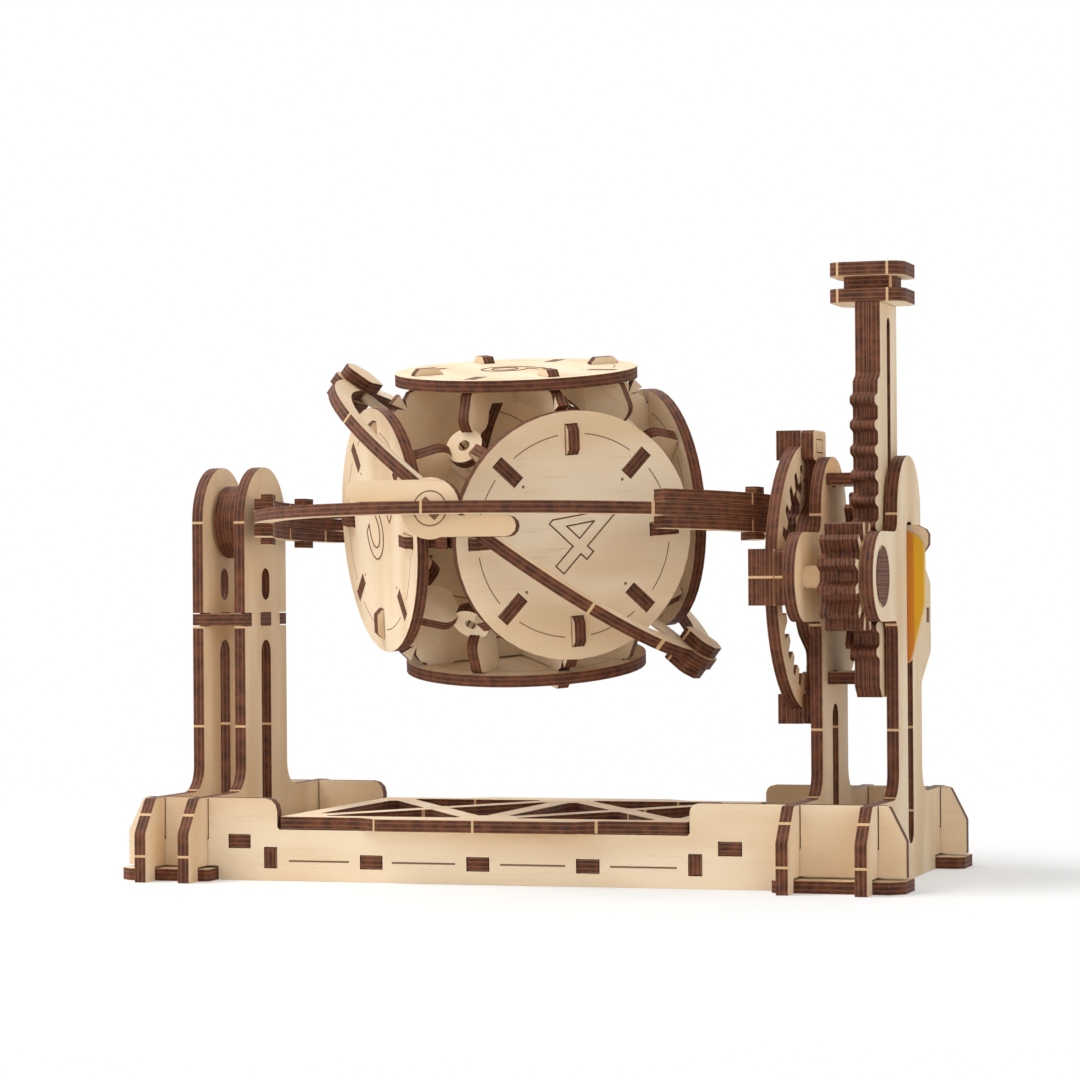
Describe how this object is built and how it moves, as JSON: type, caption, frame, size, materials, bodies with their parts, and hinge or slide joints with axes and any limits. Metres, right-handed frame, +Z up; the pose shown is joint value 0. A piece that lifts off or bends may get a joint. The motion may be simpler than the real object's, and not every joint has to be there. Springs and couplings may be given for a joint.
{
  "type": "mechanical puzzle",
  "caption": "Plywood desk toy: a cube of discs spins in two nested rings between towers, turned by a plunger, rack and gears.",
  "frame": {"origin": "centre of the base on the ground", "axes": "+X along the base towards the plunger tower, +Y to the rear, +Z up"},
  "size_m": [0.1852, 0.126, 0.1401],
  "materials": {
    "birch_plywood": "bare laser-cut birch plywood",
    "amber_rubber": "smooth amber elastic"
  },
  "bodies": {
    "frame": {"axle_link": "birch_plywood", "band_hook": "birch_plywood", "base_panel": "birch_plywood", "deck_lattice": "birch_plywood", "elastic_band": "amber_rubber", "foot_front_left": "birch_plywood", "foot_front_right": "birch_plywood", "foot_rear_left": "birch_plywood", "foot_rear_right": "birch_plywood", "front_rail": "birch_plywood", "left_cross_rib": "birch_plywood", "left_crossbar": "birch_plywood", "left_end_panel": "birch_plywood", "left_tower_inner": "birch_plywood", "left_tower_outer": "birch_plywood", "lower_guide": "birch_plywood", "rear_rail": "birch_plywood", "right_cross_rib": "birch_plywood", "right_end_panel": "birch_plywood", "right_rear_bar": "birch_plywood", "right_tower_inner": "birch_plywood", "right_tower_outer": "birch_plywood", "upper_guide": "birch_plywood"},
    "plunger": {"rack_bar": "birch_plywood", "plunger_cap": "birch_plywood"},
    "pinion": {"pinion": "birch_plywood", "pinion_axle": "birch_plywood"},
    "drive": {"driven_gear": "birch_plywood", "gear_shaft": "birch_plywood", "pawl_disc": "birch_plywood"},
    "wheel": {"wheel_internal_gear": "birch_plywood", "wheel_spider": "birch_plywood"},
    "outer_ring": {"outer_ring": "birch_plywood", "left_ring_pads": "birch_plywood", "right_ring_pads": "birch_plywood", "left_ring_axle": "birch_plywood", "small_gear": "birch_plywood", "spool": "birch_plywood", "front_pivot": "birch_plywood", "rear_pivot": "birch_plywood"},
    "inner_ring": {"inner_ring": "birch_plywood", "left_end_pads": "birch_plywood", "right_end_pads": "birch_plywood"},
    "cube": {"petal_cage": "birch_plywood", "spindle": "birch_plywood", "disc_1a": "birch_plywood", "disc_1b": "birch_plywood", "disc_2a": "birch_plywood", "disc_2b": "birch_plywood", "disc_3a": "birch_plywood", "disc_3b": "birch_plywood", "corner_brace_1": "birch_plywood", "corner_brace_2": "birch_plywood", "corner_brace_3": "birch_plywood", "corner_brace_4": "birch_plywood", "corner_brace_5": "birch_plywood", "corner_brace_6": "birch_plywood", "corner_brace_7": "birch_plywood", "corner_brace_8": "birch_plywood"}
  },
  "joints": [
    {"name": "plunger_slide", "type": "slide", "parent": "frame", "child": "plunger", "axis": [0, 0, -1], "range_m": [0, 0.033], "stiffness_N_per_m": 30, "springref_m": -0.012},
    {"name": "pinion_spin", "type": "hinge", "parent": "frame", "child": "pinion", "pos_m": [0.07711, -0.0297, 0.0691], "axis": [-1, 0, 0], "range_deg": [0, 200]},
    {"name": "drive_gear_spin", "type": "hinge", "parent": "frame", "child": "drive", "pos_m": [0.06699, 0, 0.0691], "axis": [1, 0, 0], "range_deg": [0, 115]},
    {"name": "outer_ring_spin", "type": "hinge", "parent": "frame", "child": "outer_ring", "pos_m": [-0.0072, 0, 0.0835], "axis": [1, 0, 0], "continuous": true},
    {"name": "wheel_spin", "type": "hinge", "parent": "frame", "child": "wheel", "pos_m": [0.06699, 0, 0.0691], "axis": [1, 0, 0], "continuous": true},
    {"name": "inner_ring_spin", "type": "hinge", "parent": "outer_ring", "child": "inner_ring", "pos_m": [-0.0072, 0, 0.0835], "axis": [0, 0.9997, -0.0244], "continuous": true},
    {"name": "cube_spin", "type": "hinge", "parent": "inner_ring", "child": "cube", "pos_m": [-0.0072, 0, 0.0835], "axis": [0.7986, -0.0147, -0.6016], "continuous": true}
  ],
  "couplings": [
    {"joint": "pinion_spin", "follows": "plunger_slide", "rad_per_m": 92.593},
    {"joint": "drive_gear_spin", "follows": "plunger_slide", "rad_per_m": 52.91},
    {"joint": "wheel_spin", "follows": "outer_ring_spin", "ratio": 0.40741}
  ]
}
